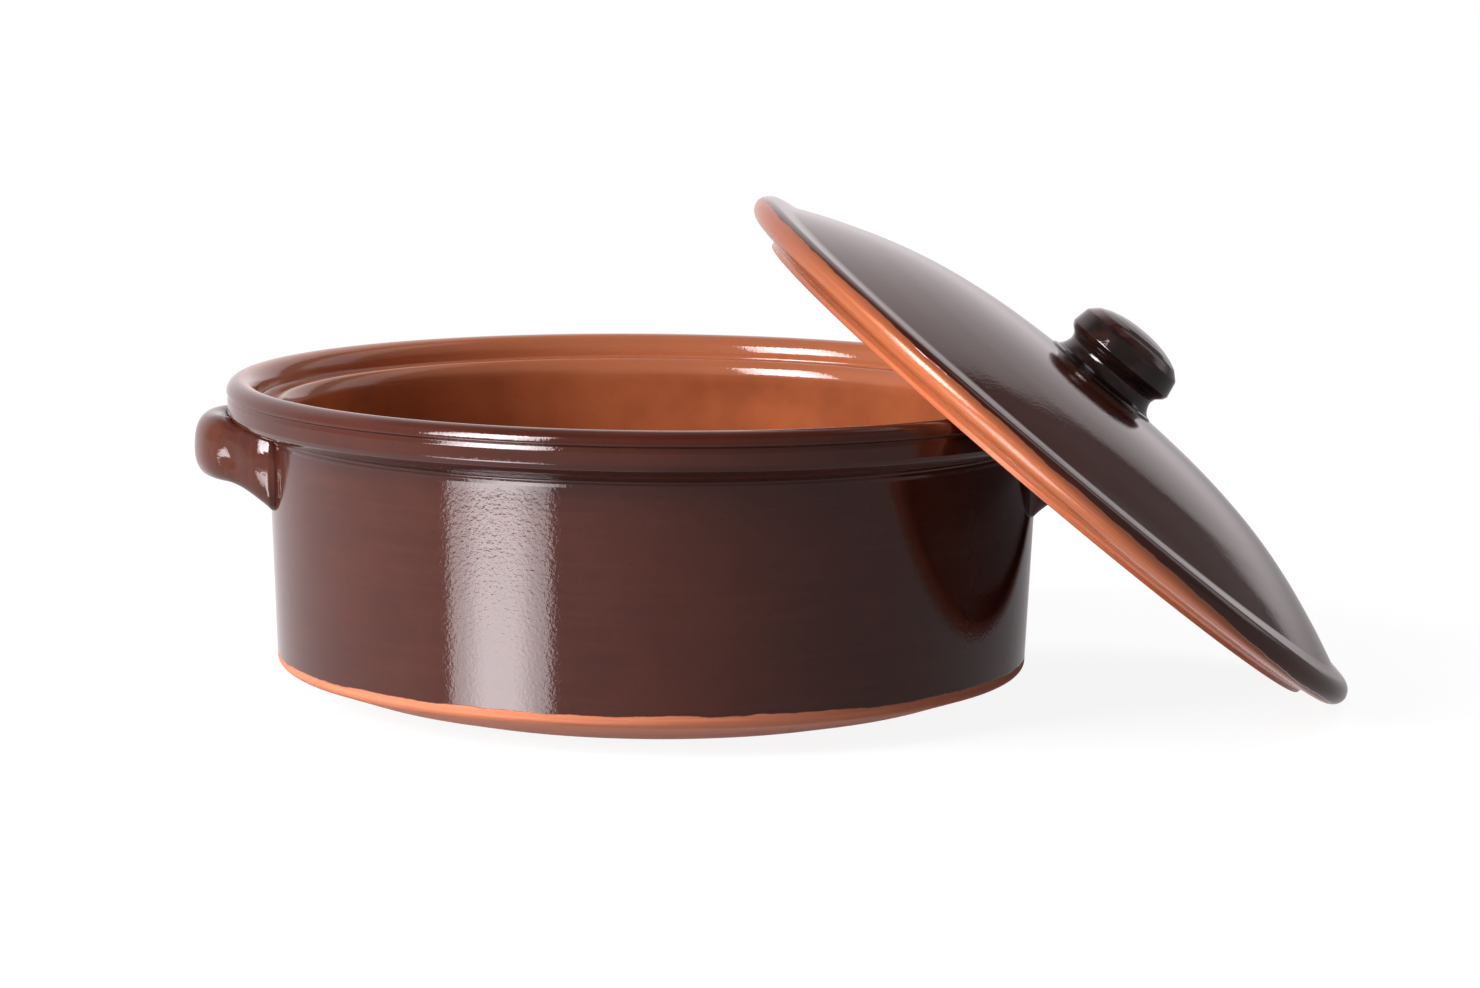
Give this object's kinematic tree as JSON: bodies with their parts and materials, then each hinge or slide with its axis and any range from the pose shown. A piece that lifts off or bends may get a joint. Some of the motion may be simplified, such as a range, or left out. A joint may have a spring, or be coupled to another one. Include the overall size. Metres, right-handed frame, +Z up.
{
  "type": "casserole dish",
  "caption": "Round glazed terracotta casserole with two loop handles and a domed, knobbed lid that is off and leans on the pot's rim.",
  "frame": {"origin": "centre of the pot's flat base, on the table", "axes": "+Z up, +X from the pot towards the side where the lid stands, +Y to the back"},
  "size_m": [0.4082, 0.3, 0.175],
  "materials": {
    "pot_glaze": "high gloss dark brown glaze over red clay, bare at the foot",
    "handle_glaze": "high gloss brown glaze, thinner and redder on the edges",
    "lid_glaze": "high gloss brown glaze on top, bare orange clay on the rim and its ring",
    "knob_glaze": "high gloss, nearly black brown glaze"
  },
  "bodies": {
    "pot": {"pot_body": "pot_glaze", "handle_left": "handle_glaze", "handle_right": "handle_glaze"},
    "lid": {"lid_shell": "lid_glaze", "lid_knob": "knob_glaze"}
  },
  "joints": [
    {"name": "lid_lift", "type": "slide", "parent": "pot", "child": "lid", "axis": [0.6334, 0, 0.7738], "range_m": [0, 0.25]}
  ]
}
